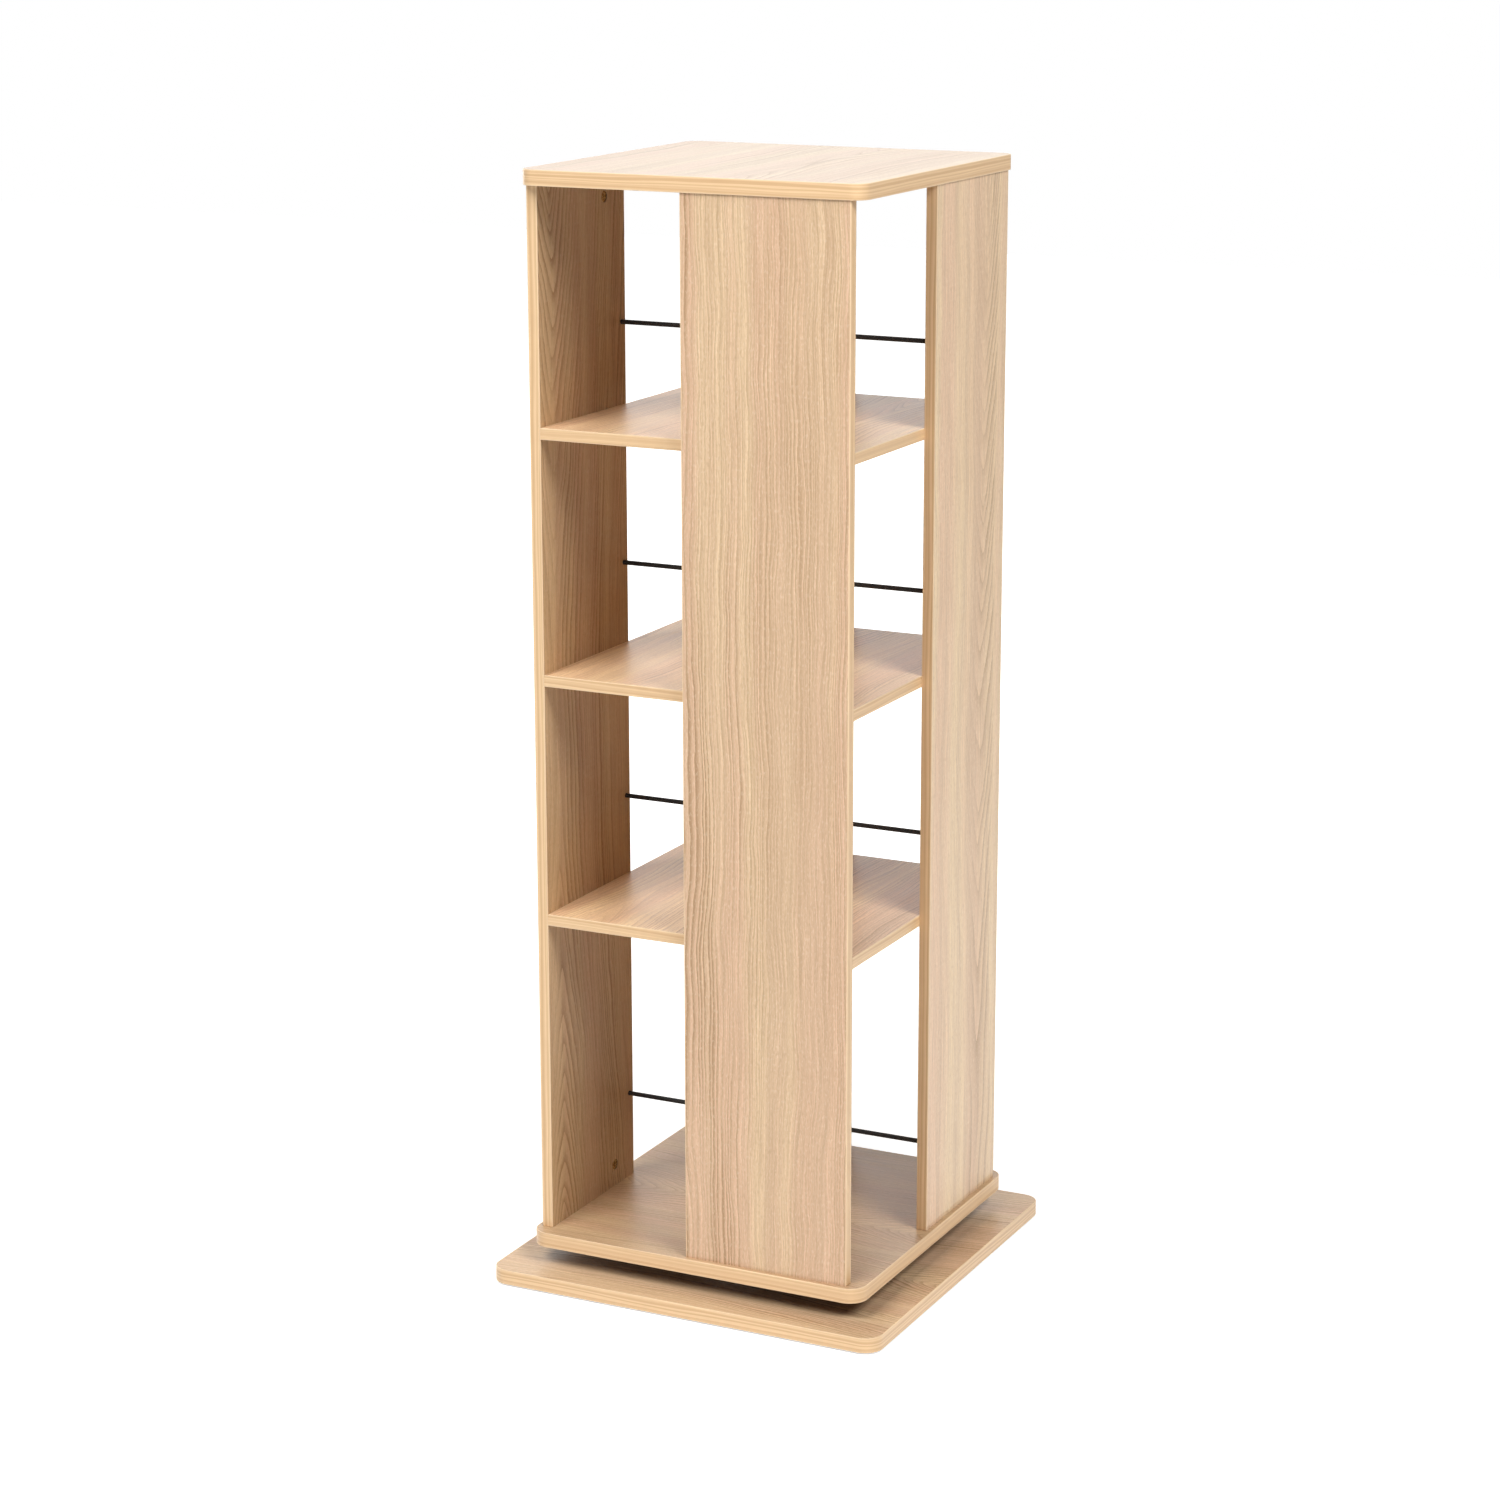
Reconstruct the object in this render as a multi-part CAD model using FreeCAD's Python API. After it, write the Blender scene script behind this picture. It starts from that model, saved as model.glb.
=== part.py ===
import FreeCAD, Part
import math
import os

# Revolving bookcase: four open tiers between four upright panels that stand in a
# pinwheel, turning on a ball-bearing turntable over a fixed base board.
# Millimetres, +Z up, origin on the floor at the middle of the base. The front panel
# faces -Y; the same panel turned by 90, 180 and 270 degrees gives the other three.

# Boards
shelf_side = 350.0            # square shelf, between the panels' inner faces
shelf_thickness = 12.0
panel_overlap = 9.0           # each upright passes the middle of its side by this
panel_thickness = 12.0
top_thickness = 16.0
top_overhang = 2.0            # past the panels' outer faces
top_corner_radius = 16.0
bottom_thickness = 16.0
bottom_overhang = 6.0
bottom_corner_radius = 20.0
base_thickness = 16.0
base_margin = 32.0            # past the turning bottom board
base_corner_radius = 20.0
band_thickness = 1.0          # glued edge band on every cut edge that shows
arris_radius = 0.5            # eased outer edges of the bands

# Tiers
overall_height = 1174.0       # the lowest tier takes what the other heights leave
upper_tier_count = 3
upper_clear = 244.0           # free height of each upper tier

# Divider rods, one across each tier
rod_diameter = 5.0
rod_seat_depth = 6.0          # blind hole in a panel's inner face
rod_height = 87.0             # axis above the shelf, upper tiers
lower_rod_height = 96.0       # axis above the bottom board

# Knock-down joints: cam lock, cam bolt and dowel
cam_from_free_edge = 43.0     # cam line, from a panel's free upright edge
dowel_from_corner = 40.0      # dowel line, from a panel's corner edge
cam_reach = 24.0              # from the joint's plane to the middle of the cam
cam_diameter = 12.0
cam_depth = 10.0              # deeper than the bolt's channel reaches
cam_cap = 1.8                 # closed front of the cam
cam_face_recess = 0.8         # from the board's face down to the cap
cam_cavity_gap = 0.2          # bolt head to the cam's inner wall
bolt_thread_diameter = 5.0
bolt_thread_depth = 8.0
bolt_shank_diameter = 6.0
bolt_shank_gap = 2.0          # from the thick shank to the cam's pocket
bolt_neck_diameter = 3.6
bolt_head_diameter = 6.4
bolt_head_length = 3.0
dowel_diameter = 6.0
dowel_length = 30.0
dowel_face_depth = 8.0        # part of the dowel that sits in a board's face
dowel_chamfer = 0.8

# Turntable
turntable_height = 20.0       # from the base board to the turning bottom board
ring_rest_gap = 1.0           # each ring stays this far off the board it turns under
race_radius = 110.0           # circle of the ball centres
race_gap = 2.0                # radial gap between the two rings
ring_width = 18.0
ball_diameter = 6.0
ball_count = 32
ball_clearance = 0.3          # ball to groove and ball to cage
cage_thickness = 1.2
cage_height = 10.0

# Turntable screws
ring_screw_count = 4
base_screw_diameter = 5.0
base_screw_head = 9.6         # countersunk head, flush in the base board's underside
base_screw_grip = 8.0         # thread length in the outer ring
board_screw_diameter = 4.0
board_screw_head = 8.0        # pan head, inside the inner ring's pocket
board_screw_head_height = 2.6
board_screw_pocket = 9.0      # depth of the pocket in the inner ring
board_screw_grip = 10.0       # thread length in the bottom board
drive_length = 6.0            # cross recess in cams and screws
drive_width = 1.2
drive_depth = 1.2

# Floor pads
pad_diameter = 24.0
pad_height = 2.0
pad_inset = 45.0              # pad centre from the base board's edges

# Clearances
fit_clearance = 0.05          # radial, pins and threads in their holes
pocket_clearance = 0.1        # radial, cam in its pocket
loose_clearance = 0.5         # radial, bolts and screws in their channels
end_gap = 0.3                 # at the end of a blind hole

# Worked out from the above
half_side = shelf_side / 2
panel_outer = half_side + panel_thickness
panel_middle = half_side + panel_thickness / 2
free_edge = -panel_overlap
cam_line = free_edge + cam_from_free_edge
dowel_line = half_side - dowel_from_corner
top_side = 2 * (panel_outer + top_overhang)
bottom_side = 2 * (panel_outer + bottom_overhang)
base_side = bottom_side + 2 * base_margin

z_base = pad_height
z_turntable = z_base + base_thickness
z_bottom = z_turntable + turntable_height
z_floor = z_bottom + bottom_thickness
z_race = z_turntable + turntable_height / 2
z_top = overall_height - top_thickness
shelf_pitch = shelf_thickness + upper_clear
shelf_levels = [z_top - (upper_tier_count - i) * shelf_pitch for i in range(upper_tier_count)]
rod_levels = [z + shelf_thickness + rod_height for z in shelf_levels]
rod_levels.insert(0, z_floor + lower_rod_height)

groove_radius = ball_diameter / 2 + ball_clearance
outer_ring_inside = race_radius + race_gap / 2
inner_ring_outside = race_radius - race_gap / 2
base_screw_circle = outer_ring_inside + ring_width / 2
board_screw_circle = inner_ring_outside - ring_width / 2
z_inner_ring = z_turntable + ring_rest_gap
z_screw_seat = z_inner_ring + board_screw_pocket

ORIGIN = FreeCAD.Vector(0, 0, 0)
UP = FreeCAD.Vector(0, 0, 1)
DOWN = FreeCAD.Vector(0, 0, -1)
ALONG_X = FreeCAD.Vector(1, 0, 0)
INWARD = FreeCAD.Vector(0, 1, 0)      # from the front panel towards the middle
PANEL_NAMES = ["front_panel", "right_panel", "back_panel", "left_panel"]
PANELS_WITH_RODS = ["right_panel", "left_panel"]


def save(name, shape):
    """Writes one node as parts/NAME.step."""
    os.makedirs("parts", exist_ok=True)
    shape.exportStep("parts/%s.step" % name)


def block(low, high):
    """A box from its lowest and highest corners."""
    size = [b - a for a, b in zip(low, high)]
    return Part.makeBox(size[0], size[1], size[2], FreeCAD.Vector(*low))


def cylinder(diameter, length, start, axis):
    """A plain cylinder from its start point along an axis."""
    return Part.makeCylinder(diameter / 2, length, FreeCAD.Vector(*start), axis)


def turned(shape, degrees):
    """A copy turned about the bookcase's upright axis."""
    made = shape.copy()
    made.rotate(ORIGIN, UP, degrees)
    return made


def four_ways(shapes):
    """The shapes and their copies at 90, 180 and 270 degrees."""
    return [turned(shape, 90 * i) for i in range(4) for shape in shapes]


def revolved(profile):
    """A solid of revolution about Z from (radius, height) points."""
    points = [FreeCAD.Vector(r, 0, z) for r, z in profile]
    return Part.Face(Part.makePolygon(points + points[:1])).revolve(ORIGIN, UP, 360)


def placed(shape, origin, z_axis, x_axis):
    """A copy whose own Z and X axes point along the two given directions."""
    made = shape.copy()
    turn = FreeCAD.Rotation(x_axis, z_axis.cross(x_axis), z_axis, "ZXY")
    made.Placement = FreeCAD.Placement(origin, turn)
    return made


def cross_recess():
    """The cutter of a cross recess, from z = 0 upwards."""
    half_length = drive_length / 2
    half_width = drive_width / 2
    bar = block((-half_length, -half_width, -1), (half_length, half_width, drive_depth))
    return [bar, turned(bar, 90)]


# ---- boards and their edge bands ------------------------------------------------


def rounded_prism(side, radius, z, height):
    """A square prism with rounded upright corners, centred on the axis."""
    half = side / 2
    prism = block((-half, -half, z), (half, half, z + height))
    upright = [e for e in prism.Edges if abs(e.Vertexes[0].Z - e.Vertexes[-1].Z) > height / 2]
    return prism.makeFillet(radius, upright)


def eased(shape, edges):
    """The shape with the given outer edges rounded over, within the band's wall."""
    return shape.makeFillet(min(arris_radius, 0.8 * band_thickness), edges)


def rounded_core(side, radius, z, height):
    """The board inside its edge band."""
    return rounded_prism(side - 2 * band_thickness, radius - band_thickness, z, height)


def rounded_band(side, radius, z, height):
    """The edge band once round a board, with eased outer edges."""
    outer = rounded_prism(side, radius, z, height)
    rims = [e for e in outer.Edges if abs(e.Vertexes[0].Z - e.Vertexes[-1].Z) < height / 2]
    return eased(outer, rims).cut(rounded_core(side, radius, z, height))


def band_strip(low, high, outward):
    """A straight strip of edge band; its two long edges on the outward side are eased."""
    strip = block(low, high)
    outward = FreeCAD.Vector(*outward)
    reach = max(v.Point.dot(outward) for v in strip.Vertexes)
    longest = max(e.Length for e in strip.Edges)
    edges = [e for e in strip.Edges
             if e.Length > longest - 1e-6 and e.CenterOfMass.dot(outward) > reach - 1e-6]
    return eased(strip, edges)


# ---- cam joints -----------------------------------------------------------------


def cam_bolt():
    """Stud along +Z: its thread below the joint's plane z = 0, its head in the cam."""
    thread = bolt_thread_diameter / 2
    shank = bolt_shank_diameter / 2
    neck = bolt_neck_diameter / 2
    head = bolt_head_diameter / 2
    shank_end = cam_reach - cam_diameter / 2 - bolt_shank_gap
    head_start = cam_reach - bolt_head_length / 2
    head_end = head_start + bolt_head_length
    return revolved([
        (0, -bolt_thread_depth), (thread, -bolt_thread_depth), (thread, 0), (shank, 0),
        (shank, shank_end), (neck, shank_end), (neck, head_start), (head, head_start),
        (head, head_end), (0, head_end)])


def cam_lock():
    """Cam along +Z, its cap with the cross recess at z = 0; the bolt comes from -X."""
    diameter = cam_diameter - 2 * pocket_clearance
    height = cam_depth - end_gap - cam_face_recess
    cavity = math.hypot(bolt_head_diameter, bolt_head_length) + 2 * cam_cavity_gap
    throat = bolt_neck_diameter / 2 + loose_clearance
    body = cylinder(diameter, height, (0, 0, 0), UP)
    hollow = cylinder(cavity, height, (0, 0, cam_cap), UP)
    slot = block((-diameter, -throat, cam_cap), (0, throat, cam_cap + height))
    return body.cut([hollow, slot] + cross_recess())


def dowel():
    """Chamfered wooden dowel along +Z, its face end below z = 0."""
    radius = dowel_diameter / 2
    low = -dowel_face_depth
    high = dowel_length - dowel_face_depth
    return revolved([
        (0, low), (radius - dowel_chamfer, low), (radius, low + dowel_chamfer),
        (radius, high - dowel_chamfer), (radius - dowel_chamfer, high), (0, high)])


class CamJoint:
    """A cam and a dowel that pull a board's edge against another board's face.

    cam_spot and dowel_spot lie on the joint's plane, into points from the face into
    the edge board, and shown is the way the cam's cap looks out of the edge board.
    """

    def __init__(self, cam_spot, dowel_spot, into, shown, edge_board_thickness):
        self.cam_spot = FreeCAD.Vector(*cam_spot)
        self.dowel_spot = FreeCAD.Vector(*dowel_spot)
        self.into = into
        self.shown = shown
        self.cam_mouth = self.cam_spot + into * cam_reach + shown * (edge_board_thickness / 2)

    def face_holes(self):
        """Thread hole and dowel hole in the face board."""
        back = self.into * -1
        return [
            cylinder(bolt_thread_diameter + 2 * fit_clearance, bolt_thread_depth + end_gap,
                     self.cam_spot, back),
            cylinder(dowel_diameter + 2 * fit_clearance, dowel_face_depth + end_gap,
                     self.dowel_spot, back)]

    def edge_holes(self):
        """Bolt channel, dowel hole and cam pocket in the edge board."""
        return [
            cylinder(bolt_shank_diameter + 2 * loose_clearance, cam_reach,
                     self.cam_spot, self.into),
            cylinder(dowel_diameter + 2 * fit_clearance,
                     dowel_length - dowel_face_depth + end_gap, self.dowel_spot, self.into),
            cylinder(cam_diameter, cam_depth, self.cam_mouth, self.shown * -1)]

    def bolt(self):
        """The cam bolt in its place."""
        return placed(cam_bolt(), self.cam_spot, self.into, self.shown)

    def dowel(self):
        """The dowel in its place."""
        return placed(dowel(), self.dowel_spot, self.into, self.shown)

    def cam(self):
        """The cam lock in its pocket."""
        mouth = self.cam_mouth - self.shown * cam_face_recess
        return placed(cam_lock(), mouth, self.shown * -1, self.into)


def shelf_joint(shelf_z):
    """The front panel's joint with a shelf, its cam in the shelf's underside."""
    z = shelf_z + shelf_thickness / 2
    return CamJoint((cam_line, -half_side, z), (dowel_line, -half_side, z),
                    INWARD, DOWN, shelf_thickness)


def end_joint(z, into):
    """The front panel's joint with the top or bottom board, its cam in the inner face."""
    return CamJoint((cam_line, -panel_middle, z), (dowel_line, -panel_middle, z),
                    into, INWARD, panel_thickness)


shelf_joints = [shelf_joint(z) for z in shelf_levels]
bottom_joint = end_joint(z_floor, UP)
top_joint = end_joint(z_top, DOWN)
panel_joints = [bottom_joint, top_joint]


# ---- the turning tower ----------------------------------------------------------


def rod_along_x(diameter, seat, z):
    """A cylinder across the tower through its axis, sunk in both side panels by seat."""
    return cylinder(diameter, shelf_side + 2 * seat, (-half_side - seat, 0, z), ALONG_X)


def panel(index):
    """An upright, drilled for its joints, and for the rods where it carries them."""
    core = block((free_edge + band_thickness, -panel_outer, z_floor),
                 (half_side - band_thickness, -half_side, z_top))
    holes = [hole for joint in shelf_joints for hole in joint.face_holes()]
    holes += [hole for joint in panel_joints for hole in joint.edge_holes()]
    made = turned(core.cut(holes), 90 * index)
    if PANEL_NAMES[index] in PANELS_WITH_RODS:
        seats = [rod_along_x(rod_diameter + 2 * fit_clearance, rod_seat_depth, z)
                 for z in rod_levels]
        made = made.cut(seats)
    return made


def panel_bands(index):
    """The two upright edge bands of a panel."""
    strips = []
    for start, outward in ((free_edge, (-1, 0, 0)), (half_side - band_thickness, (1, 0, 0))):
        strips.append(band_strip((start, -panel_outer, z_floor),
                                 (start + band_thickness, -half_side, z_top), outward))
    return Part.makeCompound([turned(strip, 90 * index) for strip in strips])


def shelf(index):
    """A square shelf with the edge side of a cam joint in each of its four sides."""
    z = shelf_levels[index]
    half = half_side - band_thickness
    core = block((-half, -half, z), (half, half, z + shelf_thickness))
    return core.cut(four_ways(shelf_joints[index].edge_holes()))


def shelf_bands(index):
    """The four edge bands of a shelf, butted at the corners and drilled like it."""
    low = shelf_levels[index]
    high = low + shelf_thickness
    inner = half_side - band_thickness
    front = band_strip((-inner, -half_side, low), (half_side, -inner, high), (0, -1, 0))
    drilled = front.cut(shelf_joints[index].edge_holes())
    return Part.makeCompound(four_ways([drilled]))


def ring_screw_angles(offset):
    """Evenly spread angles, starting at a share of the step between two screws."""
    step = 360 / ring_screw_count
    return [step * (i + offset) for i in range(ring_screw_count)]


base_screw_angles = ring_screw_angles(0)
board_screw_angles = ring_screw_angles(0.5)      # halfway between the base screws


def on_circle(shape, angles):
    """Copies of a shape turned to each of the angles."""
    return [turned(shape, angle) for angle in angles]


def bottom_board():
    """The turning floor board, with the panels' and the inner ring's screw holes."""
    core = rounded_core(bottom_side, bottom_corner_radius, z_bottom, bottom_thickness)
    pilot = cylinder(board_screw_diameter + 2 * fit_clearance, board_screw_grip + end_gap,
                     (board_screw_circle, 0, z_bottom), UP)
    return core.cut(four_ways(bottom_joint.face_holes()) + on_circle(pilot, board_screw_angles))


def top_board():
    """The lid, drilled from below for the four panels."""
    core = rounded_core(top_side, top_corner_radius, z_top, top_thickness)
    return core.cut(four_ways(top_joint.face_holes()))


def divider_rod(z):
    """A round rod across one tier, its ends in the left and right panels."""
    return rod_along_x(rod_diameter, rod_seat_depth - end_gap, z)


# ---- turntable ------------------------------------------------------------------


def ring(inside, z_low, z_high):
    """A flat ring with the half-round ball race cut in it."""
    outer = cylinder(2 * (inside + ring_width), z_high - z_low, (0, 0, z_low), UP)
    bore = cylinder(2 * inside, z_high - z_low, (0, 0, z_low), UP)
    race = Part.makeTorus(race_radius, groove_radius, FreeCAD.Vector(0, 0, z_race), UP)
    return outer.cut([bore, race])


def outer_ring():
    """Fixed ring: rests on the base board and stops short of the turning board."""
    tapped = cylinder(base_screw_diameter + 2 * fit_clearance, base_screw_grip + end_gap,
                      (base_screw_circle, 0, z_turntable), UP)
    made = ring(outer_ring_inside, z_turntable, z_bottom - ring_rest_gap)
    return made.cut(on_circle(tapped, base_screw_angles))


def inner_ring():
    """Turning ring: hangs under the bottom board, with pockets for its screws' heads."""
    pocket = cylinder(board_screw_head + 2 * loose_clearance, board_screw_pocket,
                      (board_screw_circle, 0, z_inner_ring), UP)
    through = cylinder(board_screw_diameter + 2 * fit_clearance, z_bottom - z_inner_ring,
                       (board_screw_circle, 0, z_inner_ring), UP)
    made = ring(inner_ring_outside - ring_width, z_inner_ring, z_bottom)
    return made.cut(on_circle(pocket.fuse(through), board_screw_angles))


ball_angles = [360 * i / ball_count for i in range(ball_count)]


def bearing_balls():
    """The steel balls on their circle."""
    ball = Part.makeSphere(ball_diameter / 2, FreeCAD.Vector(race_radius, 0, z_race))
    return Part.makeCompound(on_circle(ball, ball_angles))


def ball_cage():
    """A thin band between the rings with a round window for each ball."""
    low = z_race - cage_height / 2
    middle = 2 * race_radius
    outer = cylinder(middle + cage_thickness, cage_height, (0, 0, low), UP)
    bore = cylinder(middle - cage_thickness, cage_height, (0, 0, low), UP)
    window = cylinder(2 * groove_radius, ring_width, (outer_ring_inside - ring_width, 0, z_race),
                      ALONG_X)
    return outer.cut([bore] + on_circle(window, ball_angles))


def countersunk_screw(clearance):
    """The base screw from its head at z = 0 upwards; with clearance, its hole's cutter."""
    head = base_screw_head / 2 + clearance
    shank = base_screw_diameter / 2 + clearance
    length = base_thickness - end_gap + base_screw_grip
    return revolved([(0, 0), (head, 0), (shank, head - shank), (shank, length), (0, length)])


def base_screws():
    """Machine screws up through the base board into the outer ring."""
    screw = countersunk_screw(0).cut(cross_recess())
    screw.translate(FreeCAD.Vector(base_screw_circle, 0, z_base + end_gap))
    return Part.makeCompound(on_circle(screw, base_screw_angles))


def board_screws():
    """Pan-head screws up through the inner ring into the bottom board."""
    head = board_screw_head / 2
    shank = board_screw_diameter / 2
    length = z_bottom + board_screw_grip - z_screw_seat
    screw = revolved([
        (0, -board_screw_head_height), (head, -board_screw_head_height), (head, 0), (shank, 0),
        (shank, length), (0, length)])
    recess = [cut.translated(FreeCAD.Vector(0, 0, -board_screw_head_height))
              for cut in cross_recess()]
    screw = screw.cut(recess)
    screw.translate(FreeCAD.Vector(board_screw_circle, 0, z_screw_seat))
    return Part.makeCompound(on_circle(screw, board_screw_angles))


# ---- base -----------------------------------------------------------------------


def base_board():
    """The fixed board, countersunk from below for the outer ring's screws."""
    core = rounded_core(base_side, base_corner_radius, z_base, base_thickness)
    hole = countersunk_screw(fit_clearance)
    hole.translate(FreeCAD.Vector(base_screw_circle, 0, z_base + end_gap))
    mouth = cylinder(base_screw_head + 2 * fit_clearance, end_gap,
                     (base_screw_circle, 0, z_base), UP)
    return core.cut(on_circle(hole.fuse(mouth), base_screw_angles))


def floor_pads():
    """Round non-slip pads under the base board's corners."""
    reach = base_side / 2 - pad_inset
    pad = cylinder(pad_diameter, pad_height, (reach, reach, 0), UP)
    return Part.makeCompound(four_ways([pad]))


# ---- write every node -----------------------------------------------------------

save("floor_pads", floor_pads())
save("base_board", base_board())
save("base_edge_band", rounded_band(base_side, base_corner_radius, z_base, base_thickness))
save("turntable_outer_ring", outer_ring())
save("outer_ring_screws", base_screws())
save("ball_cage", ball_cage())
save("bearing_balls", bearing_balls())
save("turntable_inner_ring", inner_ring())
save("inner_ring_screws", board_screws())
save("bottom_board", bottom_board())
save("bottom_edge_band",
     rounded_band(bottom_side, bottom_corner_radius, z_bottom, bottom_thickness))
save("top_board", top_board())
save("top_edge_band", rounded_band(top_side, top_corner_radius, z_top, top_thickness))

for index, name in enumerate(PANEL_NAMES):
    save(name, panel(index))
    save(name + "_edge_bands", panel_bands(index))

for index in range(upper_tier_count):
    save("shelf_%d" % (index + 1), shelf(index))
    save("shelf_%d_edge_bands" % (index + 1), shelf_bands(index))

for index, z in enumerate(rod_levels):
    save("divider_rod_%d" % (index + 1), divider_rod(z))

for kind, joints in (("panel", panel_joints), ("shelf", shelf_joints)):
    save(kind + "_cam_locks", Part.makeCompound(four_ways([j.cam() for j in joints])))
    save(kind + "_cam_bolts", Part.makeCompound(four_ways([j.bolt() for j in joints])))
    save(kind + "_dowels", Part.makeCompound(four_ways([j.dowel() for j in joints])))
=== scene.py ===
import math

import bpy
import numpy as np
from mathutils import Matrix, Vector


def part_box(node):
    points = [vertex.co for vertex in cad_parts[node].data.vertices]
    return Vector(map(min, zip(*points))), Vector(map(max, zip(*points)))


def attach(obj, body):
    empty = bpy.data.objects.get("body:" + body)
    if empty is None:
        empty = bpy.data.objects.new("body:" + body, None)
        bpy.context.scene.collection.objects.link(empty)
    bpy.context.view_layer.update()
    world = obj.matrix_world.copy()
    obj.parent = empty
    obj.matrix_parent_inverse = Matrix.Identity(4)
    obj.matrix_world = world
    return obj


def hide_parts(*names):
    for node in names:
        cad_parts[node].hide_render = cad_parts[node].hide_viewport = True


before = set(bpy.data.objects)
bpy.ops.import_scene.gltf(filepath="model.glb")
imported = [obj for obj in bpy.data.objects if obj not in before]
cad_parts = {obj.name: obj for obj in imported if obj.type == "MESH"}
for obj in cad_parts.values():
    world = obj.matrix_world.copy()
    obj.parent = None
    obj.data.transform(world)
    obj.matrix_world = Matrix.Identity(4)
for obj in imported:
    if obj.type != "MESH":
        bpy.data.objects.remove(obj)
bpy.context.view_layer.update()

scene = bpy.context.scene
scene.view_settings.view_transform = "Standard"


# ---- camera ------------------------------------------------------------------------
# A long lens at a standing person's eye height, turned a little to the right of the
# front panel, so that the front and the right side of the tower both show.

camera_azimuth = math.radians(26.32)
camera_elevation = math.radians(14.09)
camera_roll = math.radians(-0.10)
camera_distance = 3.8854
camera_target = np.array([-0.0258, 0.0, 0.5558])
lens_in_pixels = 3675.4           # focal length on a picture 1500 pixels wide
picture_width = 1500
sensor_width = 36.0


def looking_at(target, azimuth, elevation, distance, roll=0.0):
    """Placement of a camera or lamp that looks at a target from a distance, then rolls.

    Back points from the target to the camera, right is level, and up is back x right.
    """
    back = np.array([math.sin(azimuth) * math.cos(elevation),
                     -math.cos(azimuth) * math.cos(elevation), math.sin(elevation)])
    right = np.array([math.cos(azimuth), math.sin(azimuth), 0.0])
    right = math.cos(roll) * right + math.sin(roll) * np.cross(back, right)
    placement = np.eye(4)
    placement[:3] = np.column_stack(
        [right, np.cross(back, right), back, target + back * distance])
    return Matrix(placement)


camera = bpy.data.objects.new("camera", bpy.data.cameras.new("camera"))
camera.data.sensor_width = sensor_width
camera.data.lens = lens_in_pixels * sensor_width / picture_width
camera.matrix_world = looking_at(camera_target, camera_azimuth, camera_elevation,
                                 camera_distance, camera_roll)
scene.collection.objects.link(camera)
scene.camera = camera


# ---- floor, surroundings and lamps -------------------------------------------------
# A plain pale studio: a wide matt floor, an even white surround that shows as white
# behind the tower and in its gloss, large soft lamps high in front and on the right,
# and weaker ones low behind and on the left.

floor_half = 9.0
floor_colour = (0.80, 0.80, 0.79, 1)
floor_near, floor_far = 0.5, 1.8  # from the tower's axis
lift_near, lift_far = 0.62, 1.0   # added where the camera looks at the floor
white_in_view = 1.0               # the surround as the camera sees it
white_in_gloss = 0.66             # the surround as a gloss shows it
sheen_near, sheen_far = 0.5, 4.0  # the floor in a gloss dims from the tower's foot
sheen_at_foot, sheen_away = 1.0, 0.35
white_on_matt = 0.03              # what the surround gives to matt surfaces
lamps = [
    # name, azimuth, elevation, distance, width, height, power in watts
    ("front_lamp", -15, 50, 7.0, 3.4, 3.4, 364),
    ("right_lamp", 66, 44, 7.0, 3.0, 3.0, 355),
    ("back_lamp", -154, 22, 7.0, 3.4, 3.4, 50),
    ("side_lamp", -115, 8, 7.0, 2.6, 2.6, 120),
]


def add_node(tree, kind, inputs=None, **settings):
    """Adds a shader node; an input's value is a number, a colour or another's output."""
    made = tree.nodes.new("ShaderNode" + kind)
    for key, value in settings.items():
        setattr(made, key, value)
    for socket, value in (inputs or {}).items():
        if isinstance(value, bpy.types.NodeSocket):
            tree.links.new(value, made.inputs[socket])
        else:
            made.inputs[socket].default_value = value
    return made


def calculate(tree, operation, *values):
    """One step of arithmetic on numbers or outputs."""
    return add_node(tree, "Math", dict(enumerate(values)), operation=operation).outputs[0]


def spread(tree, value, low, high, to_low=0.0, to_high=1.0):
    """Stretches a value's part between low and high over a new span, and clips it."""
    return add_node(tree, "MapRange", {
        "Value": value, "From Min": low, "From Max": high,
        "To Min": to_low, "To Max": to_high}).outputs[0]


def new_material(name):
    """An empty material and its node tree."""
    made = bpy.data.materials.new(name)
    made.use_nodes = True
    made.node_tree.nodes.clear()
    return made, made.node_tree


def by_ray(tree, camera, gloss, matt):
    """A strength for rays from the camera, from gloss or glass, and from matt faces."""
    path = add_node(tree, "LightPath")
    mirrored = calculate(tree, "MAXIMUM", path.outputs["Is Glossy Ray"],
                         path.outputs["Is Transmission Ray"])
    strength = calculate(tree, "MULTIPLY_ADD", mirrored, gloss - matt, matt)
    return calculate(tree, "MULTIPLY_ADD", path.outputs["Is Camera Ray"], camera - matt,
                     strength)


corners = np.array([[-1, -1, 0], [1, -1, 0], [1, 1, 0], [-1, 1, 0]]) * floor_half
floor_mesh = bpy.data.meshes.new("floor")
floor_mesh.from_pydata(corners.tolist(), [], [[0, 1, 2, 3]])
floor = bpy.data.objects.new("floor", floor_mesh)
scene.collection.objects.link(floor)

floor_paint, tree = new_material("floor_paint")
matt = add_node(tree, "BsdfDiffuse", {"Color": floor_colour})
spot = add_node(tree, "TexCoord")
reach = add_node(tree, "VectorMath", {0: spot.outputs["Object"]},
                 operation="LENGTH").outputs["Value"]
amount = spread(tree, reach, floor_near, floor_far, lift_near, lift_far)
sheen = spread(tree, reach, sheen_near, sheen_far, sheen_at_foot, sheen_away)
glow = calculate(tree, "MULTIPLY", sheen, by_ray(tree, camera=0.0, gloss=1.0, matt=0.0))
glow = calculate(tree, "MULTIPLY_ADD", amount,
                 by_ray(tree, camera=1.0, gloss=0.0, matt=0.0), glow)
lift = add_node(tree, "Emission", {"Strength": glow})
both = add_node(tree, "AddShader", {0: matt.outputs[0], 1: lift.outputs[0]})
add_node(tree, "OutputMaterial", {"Surface": both.outputs[0]})
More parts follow.
